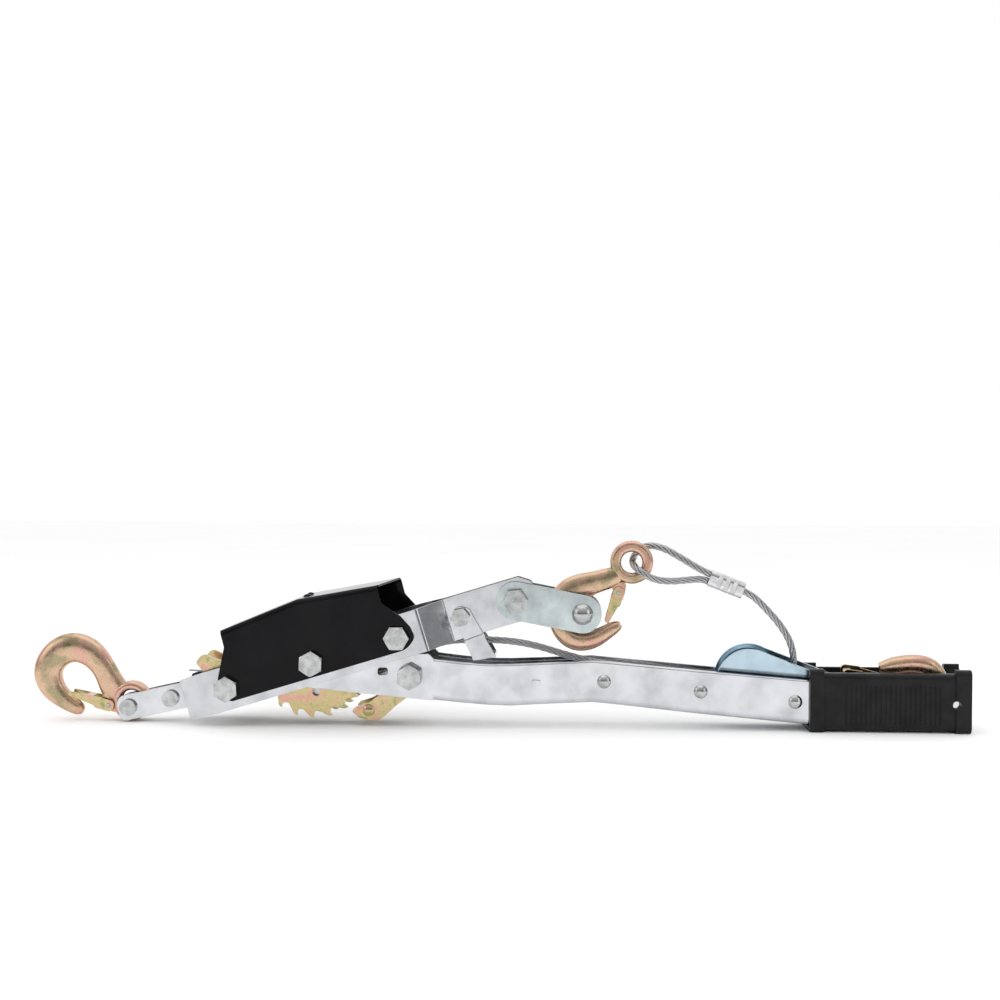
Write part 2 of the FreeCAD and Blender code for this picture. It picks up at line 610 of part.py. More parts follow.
# ---- front link and hook ----
def link_plate():
    """The near link plate, from the front bolt to the hook's rivet."""
    along = unit(FRONT_BOLT, HOOK_RIVET)
    side = (-along[1], along[0])

    def at(s, v):
        return FRONT_BOLT[0] + along[0] * s - side[0] * v, FRONT_BOLT[1] + along[1] * s - side[1] * v

    end = math.hypot(HOOK_RIVET[0] - FRONT_BOLT[0], HOOK_RIVET[1] - FRONT_BOLT[1]) + 8.3
    points = [at(-9.8, -LINK_HALF) + (9.7,), at(end, -LINK_HALF) + (5,), at(end, LINK_HALF) + (7,),
              at(-9.8, LINK_HALF) + (9.7,)]
    body = side_prism(points, -LINK_Y, -LINK_Y + LINK_T)
    body = body.cut(rod(FRONT_BOLT, SLEEVE_R + FIT, -40, 0))
    body = body.cut(rod(LINK_RIVET, HOOK_RIVET_R, -40, 0))
    return body.cut(rod(HOOK_RIVET, HOOK_RIVET_R, -40, 0))


def link_rivet(centre):
    """A link rivet with broad flat heads."""
    body = rod(centre, HOOK_RIVET_R, -LINK_Y, LINK_Y)
    for side in (-1, 1):
        low = min(side * LINK_Y, side * (LINK_Y + 3.2))
        body = body.fuse(rod(centre, 6.4, low, low + 3.2))
    return body.removeSplitter()


def front_hook():
    """The forged front hook: an eye on the link's rivet and a bowl that curls down to the surface."""
    centre = (HOOK_RIVET[0] + 0.6, HOOK_RIVET[1] + 4.2)
    limb = [(-154.5, 18.5, 19, 10.6), (-158.5, 23.5, 21, 11.2), (-162.4, 30.0, 20.0, 12),
            (-167.0, 39.0, 18.5, 13), (-173.6, 48.0, 20.0, 14), (-182.0, 54.2, 22.0, 14.5),
            (-191.6, 56.2, 23.0, 14.5),
            (-201.2, 53.2, 23.0, 14.5), (-208.4, 46.2, 22.6, 14.5), (-211.6, 37.0, 22.0, 14.5),
            (-209.4, 27.6, 20.2, 14), (-203.8, 20.0, 17.0, 12.4), (-197.0, 14.6, 14.4, 11.0),
            (-190.8, 10.6, 12.0, 10.6), (-186.4, 8.2, 9.4, 9), (-183.9, 6.8, 4.5, 5)]
    body = forged_limb(limb).cut(rod(centre, 9.5, -20, 20))
    boss = [(-155.0, 6.0, 3), (-163.0, 8.4, 3.5), (-166.6, 13.0, 3.5), (-168.0, 22.0, 5), (-155.0, 24.0, 3)]
    lug = side_prism(boss, -4.8, 4.8)
    lug = lug.cut(rod(centre, 9.5, -20, 20))
    ring = eye(centre, 15.2, 8.3, 11.4, 3.2)
    return body.fuse([ring, lug]).cut(rod(FRONT_LATCH_PIVOT, 1.6, -20, 20))


def latch(pivot, tip, half, sheet, pin_r, web_start, web_end):
    """A folded sheet safety latch: two pointed ears on its pin, joined by a web on the bowl's side."""
    along = unit(pivot, tip)
    side = (-along[1], along[0])
    length = math.hypot(tip[0] - pivot[0], tip[1] - pivot[1])

    def at(s, n):
        return pivot[0] + along[0] * s + side[0] * n, pivot[1] + along[1] * s + side[1] * n

    points = [at(-4.4, -4.2) + (3.6,), at(6.0, -4.2) + (4,), at(length, -1.8) + (1,), at(length, 1.2) + (1,),
              at(10.5, 3.4), at(9.5, 4.6), at(-4.4, 4.6) + (3.6,)]
    body = side_prism(points, -half, half)
    rows = ((-9.0, web_start, -9.0), (web_start, web_end, -4.2 + sheet), (web_end, length + 9.0, -9.0))
    for start, end, low in rows:
        gap = [at(start, low), at(end, low), at(end, 9), at(start, 9)]
        body = body.cut(side_prism(gap, -half + sheet, half - sheet))
    return body.cut(rod(pivot, pin_r + FIT, -30, 30))


# ---- anchor link and cable hook ----
def anchor_link():
    """The near anchor link: a strap with round ends, from the arm's end bolt to the hook pin."""
    along = unit(ANCHOR_BOLT, ANCHOR_PIN)
    side = (-along[1], along[0])
    length = math.hypot(ANCHOR_PIN[0] - ANCHOR_BOLT[0], ANCHOR_PIN[1] - ANCHOR_BOLT[1])
    r = ANCHOR_LINK_R

    def at(s, n):
        return ANCHOR_BOLT[0] + along[0] * s + side[0] * n, ANCHOR_BOLT[1] + along[1] * s + side[1] * n

    corners = [at(-r, -r), at(length + r, -r), at(length + r, r), at(-r, r)]
    body = side_prism([c + (r - 0.1,) for c in corners], -ANCHOR_LINK_Y, -ANCHOR_LINK_Y + ANCHOR_LINK_T)
    body = body.cut(rod(ANCHOR_BOLT, BOLT_R + FIT, -40, 0))
    return body.cut(rod(ANCHOR_PIN, ANCHOR_PIN_R - 1.5, -40, 0))


def anchor_pin():
    """The riveted pin that the cable hook sits on, with round heads outside the links."""
    inner = ANCHOR_LINK_Y - ANCHOR_LINK_T
    body = rod(ANCHOR_PIN, ANCHOR_PIN_R, -inner, inner)
    body = body.fuse(rod(ANCHOR_PIN, ANCHOR_PIN_R - 1.5, -ANCHOR_LINK_Y, ANCHOR_LINK_Y))
    for side in (-1, 1):
        base = vec(ANCHOR_PIN[0], side * ANCHOR_LINK_Y, ANCHOR_PIN[1])
        body = body.fuse(dome(base, vec(0, side, 0), 8.2, 4.6))
    return body.removeSplitter()


CABLE_EYE = (241.8, 125.7)
CABLE_BOWL = (205.5, 83.6)
CABLE_BOWL_R = 10.7


def cable_hook():
    """The forged cable hook: a big eye for the rope and a bowl round the anchor pin."""
    limb = [(232.0, 117.5, 13, 9), (225.0, 113.4, 16, 11), (214.0, 110.0, 17.5, 12),
            (203.0, 106.4, 20.5, 12.5), (192.5, 100.2, 21.0, 13), (187.3, 90.8, 18.5, 13),
            (186.6, 81.0, 16.5, 13), (190.0, 72.2, 15.6, 13), (197.0, 66.2, 15.2, 12.5),
            (206.0, 64.8, 14.6, 12), (214.8, 67.2, 13.4, 11.5), (222.6, 71.6, 11.6, 10.5),
            (229.4, 75.8, 9.4, 9), (233.6, 78.2, 5.0, 5.5)]
    body = forged_limb(limb)
    body = body.cut(rod(CABLE_BOWL, CABLE_BOWL_R, -20, 20))
    ring = eye(CABLE_EYE, 16.5, 8.0, 9.6, 3.0)
    lug = side_prism([(226.0, 108.0, 3), (238.5, 112.0, 3), (236.4, 100.6, 4), (229.6, 98.6, 4)], -3.6, 3.6)
    body = body.cut(rod(CABLE_EYE, 9.0, -20, 20)).fuse([ring, lug])
    return body.cut(rod(CABLE_LATCH_PIVOT, 1.6, -20, 20)).removeSplitter()


FERRULE_RIGHT = (326.8, 104.2)
FERRULE_LEFT = (301.2, 114.2)


def ferrule():
    """The swaged sleeve that clamps the rope's end loop, with its press marks."""
    a = math.degrees(math.atan2(FERRULE_LEFT[1] - FERRULE_RIGHT[1], FERRULE_RIGHT[0] - FERRULE_LEFT[0]))
    length = math.hypot(FERRULE_LEFT[1] - FERRULE_RIGHT[1], FERRULE_RIGHT[0] - FERRULE_LEFT[0])
    oval = [(-4.2, -6.6, 4.1), (4.2, -6.6, 4.1), (4.2, 6.6, 4.1), (-4.2, 6.6, 4.1)]
    body = Part.Face(outline(oval, lambda p, q: vec(0, p, q))).extrude(vec(length, 0, 0))
    for x in (6.5, 12.5, 18.5):
        for side in (-1, 1):
            y = 4.2 if side > 0 else -4.2 - 2.0
            body = body.cut(Part.makeBox(3.2, 2.0, 20, vec(x, y - side * 0.6, -10)))
    body.rotate(ORIGIN, Y_AXIS, a)
    body.translate(vec(FERRULE_LEFT[0], 0, FERRULE_LEFT[1]))
    return body


ROPE_RUN = [(18.0, 0, 20.9), (44.0, 0, 37.1), (72.0, 0, 54.0), (98.0, 0, 64.2), (122.0, 0, 65.4),
            (146.0, 0, 65.0), (168.0, 0, 61.6), (190.0, 0, 54.8), (214.0, 0, 48.4), (243.0, 0.2, 45.2),
            (272.0, 0.6, 40.6), (295.0, 1.4, 31.6), (311.5, 2.2, 21.6), (324.8, 2.6, 17.1),
            (338.4, 2.6, 16.6), (351.6, 1.6, 23.4), (361.6, 0.4, 35.0), (366.2, 0, 49.4),
            (363.8, 0, 64.4), (355.6, 0, 78.2), (344.6, 0, 90.6)]
ROPE_LOOP = [(284.0, -1.6, 112.4), (271.6, -4.6, 111.4), (258.4, -8.4, 113.0), (247.2, -9.8, 119.4),
             (241.6, 0.0, 125.6), (245.2, 10.0, 132.4), (254.0, 10.4, 138.6), (266.0, 6.0, 136.8),
             (279.0, 3.0, 129.6)]


def rope_run():
    """The loose rope from the drum, under the pulley block's sheave and up to the ferrule."""
    out = unit(FERRULE_LEFT, FERRULE_RIGHT)
    ends = [(FERRULE_RIGHT[0] + out[0] * s, 0, FERRULE_RIGHT[1] + out[1] * s) for s in (7.0, 0.05)]
    return routed_tube(ROPE_RUN + ends, ROPE_D, "rope_run")


def rope_loop():
    """The end loop: out of the ferrule, through the hook's eye and back."""
    out = unit(FERRULE_RIGHT, FERRULE_LEFT)

    def at(s, n):
        return FERRULE_LEFT[0] + out[0] * s + out[1] * n, 0, FERRULE_LEFT[1] + out[1] * s - out[0] * n

    leaving, entering = [at(0.05, -2.85), at(5.0, -2.85)], [at(7.0, 2.85), at(0.05, 2.85)]
    return routed_tube(leaving + ROPE_LOOP + entering, ROPE_D, "rope_loop")


# ---- pulley block ----
def lean(shape):
    """Rolls a piece of the pulley block about the line from its sheave to its swivel."""
    shape.rotate(vec(BLOCK[0], 0, BLOCK[1]), vec(SWIVEL[0] - BLOCK[0], 0, SWIVEL[1] - BLOCK[1]), BLOCK_ROLL)
    return shape


def block_at(s, n):
    """A point of the block's side view: s from the sheave's centre towards the swivel, n square to it."""
    along = unit(BLOCK, SWIVEL)
    return BLOCK[0] + along[0] * s - along[1] * n, BLOCK[1] + along[1] * s + along[0] * n


def place3(s, n):
    """The same point in space, on the block's middle plane."""
    x, z = block_at(s, n)
    return x, 0, z


BLOCK_LENGTH = math.hypot(SWIVEL[0] - BLOCK[0], SWIVEL[1] - BLOCK[1])


def cheek(side):
    """A teardrop cheek plate, round over the sheave and tapering to the swivel."""
    spots = [vec(*place3(*polar(CHEEK_R, a))) for a in (66, 180, 294)]
    trail = [spots[2], vec(*place3(BLOCK_LENGTH + 3, -7.5)), vec(*place3(BLOCK_LENGTH + 3, 7.5)), spots[0]]
    edges = [Part.Arc(*spots).toShape()]
    for p, q in zip(trail, trail[1:]):
        edges.append(Part.LineSegment(p, q).toShape())
    face = Part.Face(Part.Wire(edges))
    y = -CHEEK_Y if side < 0 else CHEEK_Y - CHEEK_T
    face.translate(vec(0, y, 0))
    body = face.extrude(vec(0, CHEEK_T, 0))
    return lean(body.cut(rod(BLOCK, 4.0, -20, 20)))


def sheave():
    """The grooved wheel that the rope runs round."""
    half = CHEEK_Y - CHEEK_T - GAP
    profile = [(4.0 + FIT, -half), (9.0, -half), (9.0, -half + 1.0), (SHEAVE_R, -half + 1.0),
               (SHEAVE_R, -half + 2.0), (GROOVE_R, -1.6, 2.0), (GROOVE_R, 1.6, 2.0), (SHEAVE_R, half - 2.0),
               (SHEAVE_R, half - 1.0), (9.0, half - 1.0), (9.0, half), (4.0 + FIT, half)]
    wire = outline(profile, lambda a, b: vec(BLOCK[0] + a, b, BLOCK[1]))
    return lean(Part.Face(wire).revolve(vec(BLOCK[0], 0, BLOCK[1]), Y_AXIS, 360))


def sheave_pin():
    body = rod(BLOCK, 4.0, -CHEEK_Y, CHEEK_Y)
    for side in (-1, 1):
        body = body.fuse(dome(vec(BLOCK[0], side * CHEEK_Y, BLOCK[1]), vec(0, side, 0), 6.2, 1.6))
    return lean(body.removeSplitter())


def swivel_block():
    """The cross block between the cheeks' narrow ends, bored for the hook's swivel shank."""
    front, back = BLOCK_LENGTH - 8, BLOCK_LENGTH + 3
    corners = [block_at(front, -6.5), block_at(back, -6.5), block_at(back, 6.5), block_at(front, 6.5)]
    reach = CHEEK_Y - CHEEK_T
    body = side_prism([c + (1.0,) for c in corners], -reach, reach)
    start, end = place3(BLOCK_LENGTH - 30, 0), place3(BLOCK_LENGTH + 30, 0)
    return lean(body.cut(stick(vec(*start), vec(*end), 3.5 + FIT)))


def block_hook():
    """The swivel hook of the pulley block, lying in the grip with its opening and latch on top."""
    s0 = BLOCK_LENGTH
    shank = stick(vec(*place3(s0 - 9.5, 0)), vec(*place3(s0 + 16, 0)), 3.5)
    head = stick(vec(*place3(s0 - 13.5, 0)), vec(*place3(s0 - 8.4, 0)), 6.0)
    limb = [(398.0, 31.4, 9, 9), (405.0, 30.2, 11.5, 10), (413.0, 26.2, 13.0, 11), (423.0, 20.8, 13.6, 12),
            (435.0, 17.6, 14.6, 12.5), (448.0, 17.4, 15.6, 12.5), (461.0, 19.8, 16.5, 12.5),
            (470.5, 26.8, 16.5, 12.5), (474.0, 37.4, 15.5, 12.5), (468.6, 46.4, 14.5, 12.5),
            (457.0, 50.2, 14, 12), (446.0, 49.6, 13.4, 12), (436.5, 47.6, 12.2, 11), (430.0, 46.6, 8.6, 9)]
    x, z = BLOCK_LATCH_PIVOT
    boss = [(x - 4.5, z - 11), (x + 6.0, z - 11), (x + 3.0, z + 3.0, 2), (x - 3.0, z + 3.0, 2)]
    lug = side_prism(boss, -3.8, 3.8)
    body = forged_limb(limb).fuse([shank, head, lug]).removeSplitter()
    return lean(body.cut(rod(BLOCK_LATCH_PIVOT, 1.4, -20, 20)))


BLOCK_LATCH_PIVOT = (406.0, 42.6)
BLOCK_LATCH_TIP = (433.0, 39.2)
FRONT_LATCH_PIVOT = (-162.4, 12.6)
FRONT_LATCH_TIP = (-193.6, 21.6)
CABLE_LATCH_PIVOT = (231.9, 102.6)
CABLE_LATCH_TIP = (223.0, 79.6)


def pin(centre, radius, reach):
    return rod(centre, radius, -reach, reach)


def build():
    nodes = {
        "frame_plate_near": frame_plate(),
        "frame_plate_far": mirrored(frame_plate()),
        "cover": cover(),
        "cover_screws": cover_screws(),
        "frame_bolts": frame_bolts(),
        "frame_nuts": frame_nuts(),
        "axle_sleeve": sleeve(AXLE, FRAME_IN),
        "front_sleeve": sleeve(FRONT_BOLT, FRAME_IN),
        "rear_spacer": sleeve(REAR_BOLT, FRAME_IN),
        "arm_bolt": bolt(ARM_BOLT, ARM_BOLT_R, ARM_Y + 2.0, ARM_BOLT_FLATS, 5.3, 10.0),
        "arm_nuts": arm_nuts(),
        "arm_spacers": arm_spacers(),
        "cable_guide": cable_guide(),
        "hold_spring": hold_spring(),
        "anchor_bolt": bolt(ANCHOR_BOLT, BOLT_R, ANCHOR_LINK_Y + GAP, BOLT_FLATS, BOLT_HEAD, 5.0),
        "rope_run": rope_run(),
        "ratchet_near": ratchet_wheel(),
        "ratchet_far": mirrored(ratchet_wheel()),
        "drum_core": drum_core(),
        "winding": winding(),
        "hold_pawl_near": hold_pawl(),
        "hold_pawl_far": mirrored(hold_pawl()),
        "hold_pawl_pin": rivet(HOLD_PIN, 2.8, PAWL_Y[1], 4.0, 1.2),
        "handle_plate_near": handle_plate(),
        "handle_plate_far": mirrored(handle_plate()),
        "handle_channel": handle_channel(),
        "channel_rivets": channel_rivets(),
        "drive_bolt": drive_bolt(),
        "drive_nut": drive_nut(),
        "drive_sleeve": tube(DRIVE_PIVOT, SLEEVE_R, BOLT_R, -HANDLE_HEAD_Y, HANDLE_HEAD_Y),
        "grip": grip(),
        "drive_pawl_near": drive_pawl(),
        "drive_pawl_far": mirrored(drive_pawl()),
        "drive_pawl_rivet": rivet(DRIVE_RIVET, 3.2, PAWL_Y[1], 4.6, 1.8),
        "drive_spring": drive_spring(),
        "link_plate_near": link_plate(),
        "link_plate_far": mirrored(link_plate()),
        "link_spacer_rivet": link_rivet(LINK_RIVET),
        "hook_rivet": link_rivet(HOOK_RIVET),
        "front_hook": front_hook(),
        "front_latch": latch(FRONT_LATCH_PIVOT, FRONT_LATCH_TIP, 7.4, 1.2, 1.6, 13.5, 28.0),
        "front_latch_pin": pin(FRONT_LATCH_PIVOT, 1.6, 8.0),
        "anchor_link_near": anchor_link(),
        "anchor_link_far": mirrored(anchor_link()),
        "anchor_pin": anchor_pin(),
        "rope_loop": rope_loop(),
        "ferrule": ferrule(),
        "cable_hook": cable_hook(),
        "cable_latch": latch(CABLE_LATCH_PIVOT, CABLE_LATCH_TIP, 5.4, 1.2, 1.6, 4.5, 19.0),
        "cable_latch_pin": pin(CABLE_LATCH_PIVOT, 1.6, 6.0),
        "cheek_near": cheek(-1),
        "cheek_far": cheek(1),
        "swivel_block": swivel_block(),
        "sheave_pin": sheave_pin(),
        "sheave": sheave(),
        "block_hook": block_hook(),
        "block_latch": lean(latch(BLOCK_LATCH_PIVOT, BLOCK_LATCH_TIP, 7.6, 1.0, 1.4, 16.0, 24.0)),
        "block_latch_pin": lean(pin(BLOCK_LATCH_PIVOT, 1.4, 8.2)),
    }
    return nodes


CORDS = ("rope_run", "rope_loop", "ferrule")


def placed(nodes):
    """Every piece moved along X, so that the footprint without the loose rope is centred."""
    box = FreeCAD.BoundBox()
    for name, shape in nodes.items():
        if name not in CORDS:
            box.add(shape.optimalBoundingBox(False, False))
    shift = vec(-(box.XMin + box.XMax) / 2, -(box.YMin + box.YMax) / 2, -box.ZMin)
    for shape in nodes.values():
        shape.translate(shift)
    return shift


NODES = build()
SHIFT = placed(NODES)
os.makedirs("parts", exist_ok=True)
for name, shape in NODES.items():
    shape.exportStep("parts/%s.step" % name)
print(len(NODES), "nodes, moved by", SHIFT)
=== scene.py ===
import bpy
import math
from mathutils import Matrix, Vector


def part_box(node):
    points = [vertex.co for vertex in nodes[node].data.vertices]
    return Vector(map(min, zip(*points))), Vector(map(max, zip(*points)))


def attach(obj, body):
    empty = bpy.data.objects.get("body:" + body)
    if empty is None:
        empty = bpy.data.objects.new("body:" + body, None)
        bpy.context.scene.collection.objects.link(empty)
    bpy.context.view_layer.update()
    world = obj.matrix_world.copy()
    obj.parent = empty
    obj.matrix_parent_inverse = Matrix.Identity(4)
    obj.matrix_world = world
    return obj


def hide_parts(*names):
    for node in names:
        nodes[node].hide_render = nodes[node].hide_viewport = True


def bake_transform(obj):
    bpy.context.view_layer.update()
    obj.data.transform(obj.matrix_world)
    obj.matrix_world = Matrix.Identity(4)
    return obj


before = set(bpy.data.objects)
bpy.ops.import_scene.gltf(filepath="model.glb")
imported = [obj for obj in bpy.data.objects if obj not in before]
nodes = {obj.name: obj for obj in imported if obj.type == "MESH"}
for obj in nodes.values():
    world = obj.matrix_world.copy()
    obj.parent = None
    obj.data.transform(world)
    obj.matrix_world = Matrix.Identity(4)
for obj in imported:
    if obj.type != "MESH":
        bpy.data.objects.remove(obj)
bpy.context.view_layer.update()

# ---- where the drum's axle is, which the camera and the rope's route are measured from ----
low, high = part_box("axle_sleeve")
AXLE = Vector(((low.x + high.x) / 2, 0.0, 0.0))


def at(x, y, z):
    """A point given in millimetres from below the axle, in the row's metres."""
    return AXLE + Vector((x, y, z)) / 1000.0


# ---- camera ----
def make_camera():
    data = bpy.data.cameras.new("camera")
    data.sensor_width = 36.0
    data.lens = 36.0 * 1.533
    data.clip_start = 0.05
    camera = bpy.data.objects.new("camera", data)
    bpy.context.scene.collection.objects.link(camera)
    camera.location = at(194.9, -1176.0, 200.0)
    camera.rotation_euler = (math.radians(90 - 1.32), math.radians(-0.2), math.radians(2.64))
    bpy.context.scene.camera = camera


make_camera()

# ---- rope ----
ROPE_D = 0.0055
RUN_ROUTE = [(18.0, 0, 20.9), (44.0, 0, 37.1), (72.0, 0, 54.0), (98.0, 0, 64.2), (122.0, 0, 65.4),
             (146.0, 0, 65.0), (168.0, 0, 61.6), (190.0, 0, 54.8), (214.0, 0, 48.4), (243.0, 0.2, 45.2),
             (272.0, 0.6, 40.6), (295.0, 1.4, 31.6), (311.5, 2.2, 21.6), (324.8, 2.6, 17.1),
             (338.4, 2.6, 16.6), (351.6, 1.6, 23.4), (361.6, 0.4, 35.0), (366.2, 0, 49.4),
             (363.8, 0, 64.4), (355.6, 0, 78.2), (344.6, 0, 90.6)]
LOOP_ROUTE = [(284.0, -1.6, 112.4), (271.6, -4.6, 111.4), (258.4, -8.4, 113.0), (247.2, -9.8, 119.4),
              (241.6, 0.0, 125.6), (245.2, 10.0, 132.4), (254.0, 10.4, 138.6), (266.0, 6.0, 136.8),
              (279.0, 3.0, 129.6)]
FERRULE_RIGHT = Vector((326.8, 0, 104.2))
FERRULE_LEFT = Vector((301.2, 0, 114.2))
FERRULE_AXIS = (FERRULE_LEFT - FERRULE_RIGHT).normalized()
FERRULE_UP = Vector((FERRULE_AXIS.z, 0, -FERRULE_AXIS.x))


def ferrule_point(s, n):
    return tuple(FERRULE_LEFT + FERRULE_AXIS * s + FERRULE_UP * n)


RUN_ROUTE += [tuple(FERRULE_RIGHT - FERRULE_AXIS * s) for s in (7.0, 0.05)]
LOOP_ROUTE = ([ferrule_point(0.05, -2.85), ferrule_point(5.0, -2.85)] + LOOP_ROUTE
              + [ferrule_point(7.0, 2.85), ferrule_point(0.05, 2.85)])


def centreline(name, route):
    """The NURBS curve through the route, as a list of close points."""
    data = bpy.data.curves.new(name, "CURVE")
    data.dimensions = "3D"
    data.resolution_u = 24
    spline = data.splines.new("NURBS")
    spline.points.add(len(route) - 1)
    for point, spot in zip(spline.points, route):
        point.co = (*at(*spot), 1.0)
    spline.order_u = 3
    spline.use_endpoint_u = True
    curve = bpy.data.objects.new(name, data)
    bpy.context.scene.collection.objects.link(curve)
    bpy.context.view_layer.update()
    mesh = bpy.data.meshes.new_from_object(curve)
    points = [v.co.copy() for v in mesh.vertices]
    bpy.data.meshes.remove(mesh)
    bpy.data.objects.remove(curve)
    bpy.data.curves.remove(data)
    return points


def respaced(points, step):
    """The same line with its points a step apart."""
    found = [points[0].copy()]
    left = step
    for a, b in zip(points, points[1:]):
        length = (b - a).length
        start = 0.0
        while length - start >= left:
            start += left
            found.append(a.lerp(b, start / length))
            left = step
        left -= length - start
    if (found[-1] - points[-1]).length > step * 0.3:
        found.append(points[-1].copy())
    else:
        found[-1] = points[-1].copy()
    return found


def length_of(points):
    return sum((b - a).length for a, b in zip(points, points[1:]))


def frames(points, closed=False):
    """A tangent and two cross directions at each point, turning as little as possible."""
    count = len(points)
    tangents = []
    for i in range(count):
        before = points[i - 1] if i or closed else points[0]
        after = points[(i + 1) % count] if i < count - 1 or closed else points[-1]
        tangents.append((after - before).normalized())
    side = tangents[0].cross(Vector((0, 1, 0.2))).normalized()
    result = []
    for tangent in tangents:
        side = (side - tangent * side.dot(tangent)).normalized()
        result.append((tangent, side, tangent.cross(side)))
    return result


STRANDS = 6
STRAND_R = ROPE_D / 6.0
LAY_LENGTH = ROPE_D * 6.6
STRAND_SIDES = 8


def strand_data(points, closed=False):
    """Vertices, faces and texture places of six strands laid round a line, and of the core."""
    verts, faces, places = [], [], []
    axes = frames(points, closed)
    total = length_of(points) + ((points[0] - points[-1]).length if closed else 0.0)
    turns = max(1, round(total / LAY_LENGTH)) / total if closed else 1.0 / LAY_LENGTH
    count = len(points)
    for strand in range(STRANDS + 1):
        orbit = ROPE_D / 2 - STRAND_R if strand < STRANDS else 0.0
        first = len(verts)
        run = 0.0
        for i, (point, (tangent, side, up)) in enumerate(zip(points, axes)):
            run += (point - points[i - 1]).length if i else 0.0
            a = 2 * math.pi * (strand / STRANDS + run * turns)
            centre = point + (side * math.cos(a) + up * math.sin(a)) * orbit
            for k in range(STRAND_SIDES):
                b = 2 * math.pi * k / STRAND_SIDES
                offset = side * math.cos(b) + up * math.sin(b)
                verts.append(centre + offset * STRAND_R * (1.0 if strand < STRANDS else 1.1))
        spans = count if closed else count - 1
        step = total / spans
        for i in range(spans):
            for k in range(STRAND_SIDES):
                j, m = (i + 1) % count, (k + 1) % STRAND_SIDES
                faces.append((first + i * STRAND_SIDES + k, first + i * STRAND_SIDES + m,
                              first + j * STRAND_SIDES + m, first + j * STRAND_SIDES + k))
                u0, u1 = i * step / STRAND_R, (i + 1) * step / STRAND_R
                v0, v1 = k / STRAND_SIDES, (k + 1) / STRAND_SIDES
                places += [(u0, v0), (u0, v1), (u1, v1), (u1, v0)]
        if not closed:
            faces.append(tuple(range(first + STRAND_SIDES - 1, first - 1, -1)))
            places += [(0, 0)] * STRAND_SIDES
            last = first + (count - 1) * STRAND_SIDES
            faces.append(tuple(range(last, last + STRAND_SIDES)))
            places += [(0, 0)] * STRAND_SIDES
    return verts, faces, places


def mesh_object(name, verts, faces, places, material, smooth=True):
    mesh = bpy.data.meshes.new(name)
    mesh.from_pydata([tuple(v) for v in verts], [], faces)
    if places:
        layer = mesh.uv_layers.new(name="along")
        layer.data.foreach_set("uv", [c for place in places for c in place])
    mesh.polygons.foreach_set("use_smooth", [smooth] * len(mesh.polygons))
    mesh.materials.append(material)
    mesh.update()
    piece = bpy.data.objects.new(name, mesh)
    bpy.context.scene.collection.objects.link(piece)
    return piece


# ---- materials ----
class Recipe:
    """Builds one procedural material on a Principled shader."""

    def __init__(self, name, **values):
        self.material = bpy.data.materials.new(name)
        self.material.use_nodes = True
        self.tree = self.material.node_tree
        self.shader = self.tree.nodes["Principled BSDF"]
        self.height = None
        for key, value in values.items():
            self.shader.inputs[key.replace("_", " ")].default_value = value
        self.spot = self.add("ShaderNodeTexCoord").outputs["Object"]

    def add(self, kind, **values):
        node = self.tree.nodes.new(kind)
        for key, value in values.items():
            setattr(node, key, value)
        return node

    def link(self, a, b):
        self.tree.links.new(a, b)

    def noise(self, size_mm, detail=3.0, stretch=None, rough=0.55):
        """Noise whose features are about this many millimetres across."""
        node = self.add("ShaderNodeTexNoise")
        node.inputs["Scale"].default_value = 1000.0 / size_mm
        node.inputs["Detail"].default_value = detail
        node.inputs["Roughness"].default_value = rough
        if stretch:
            scale = self.add("ShaderNodeMapping")
            scale.inputs["Scale"].default_value = stretch
            self.link(self.spot, scale.inputs["Vector"])
            self.link(scale.outputs["Vector"], node.inputs["Vector"])
        else:
            self.link(self.spot, node.inputs["Vector"])
        return node.outputs["Fac"]

    def ramp(self, source, stops):
        """A colour ramp: stops are (place, colour)."""
        node = self.add("ShaderNodeValToRGB")
        ramp = node.color_ramp
        while len(ramp.elements) < len(stops):
            ramp.elements.new(0.5)
        for element, (place, colour) in zip(ramp.elements, stops):
            element.position = place
            element.color = (*colour, 1.0)
        self.link(source, node.inputs["Fac"])
        return node.outputs["Color"]

    def spread(self, source, low, high):
        """Noise from 0.3 to 0.7, stretched between two values."""
        node = self.add("ShaderNodeMapRange")
        for key, value in (("From Min", 0.3), ("From Max", 0.7), ("To Min", low), ("To Max", high)):
            node.inputs[key].default_value = value
        self.link(source, node.inputs["Value"])
        return node.outputs["Result"]

    def bump(self, source, depth_mm, strength=1.0):
        node = self.add("ShaderNodeBump")
        node.inputs["Strength"].default_value = strength
        node.inputs["Distance"].default_value = depth_mm / 1000.0
        self.link(source, node.inputs["Height"])
        if self.height:
            self.link(self.height, node.inputs["Normal"])
        self.height = node.outputs["Normal"]

    def round_edges(self, radius_mm):
        node = self.add("ShaderNodeBevel", samples=4)
        node.inputs["Radius"].default_value = radius_mm / 1000.0
        self.height = node.outputs["Normal"]

    def done(self):
        if self.height:
            self.link(self.height, self.shader.inputs["Normal"])
        return self.material


def zinc_sheet(name, tint, rough):
    """Bright zinc plate on rolled sheet: cloudy, with fine rolling lines."""
    r = Recipe(name, Metallic=1.0)
    r.round_edges(0.5)
    clouds = r.noise(22.0, 4.0)
    dull, bright = tuple(c * 0.78 for c in tint), tuple(c * 1.12 for c in tint)
    colour = r.ramp(clouds, [(0.3, dull), (0.52, tint), (0.74, bright)])
    r.link(colour, r.shader.inputs["Base Color"])
    r.link(r.spread(r.noise(9.0, 5.0), rough * 0.75, rough * 1.5), r.shader.inputs["Roughness"])
    r.bump(r.noise(3.0, 4.0, (0.12, 1.0, 1.0)), 0.02, 0.35)
    r.bump(r.noise(14.0, 2.0), 0.12, 0.25)
    return r.done()


